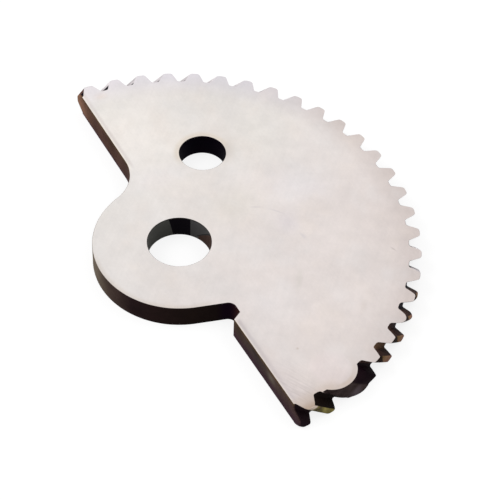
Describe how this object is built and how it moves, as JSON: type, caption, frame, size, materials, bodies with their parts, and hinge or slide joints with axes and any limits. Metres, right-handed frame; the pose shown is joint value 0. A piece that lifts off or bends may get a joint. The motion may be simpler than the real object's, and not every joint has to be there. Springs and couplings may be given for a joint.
{
  "type": "spiral gear",
  "caption": "Half-round steel sector gear cut from flat plate, with slanted teeth round its rim, a round hub with a pivot bore, a further plain hole and a worn double tooth.",
  "frame": {"origin": "pivot bore's axis, on the plate's lower face", "axes": "+Z along the pivot bore and out of the upper face, +X towards the middle of the teeth, +Y along the straight edge that has the fillet"},
  "size_m": [0.1022, 0.1504, 0.0078],
  "materials": {
    "gear_steel": "ground faces, darkened and worn edges"
  },
  "bodies": {
    "root": {"sector_gear": "gear_steel"}
  },
  "joints": []
}
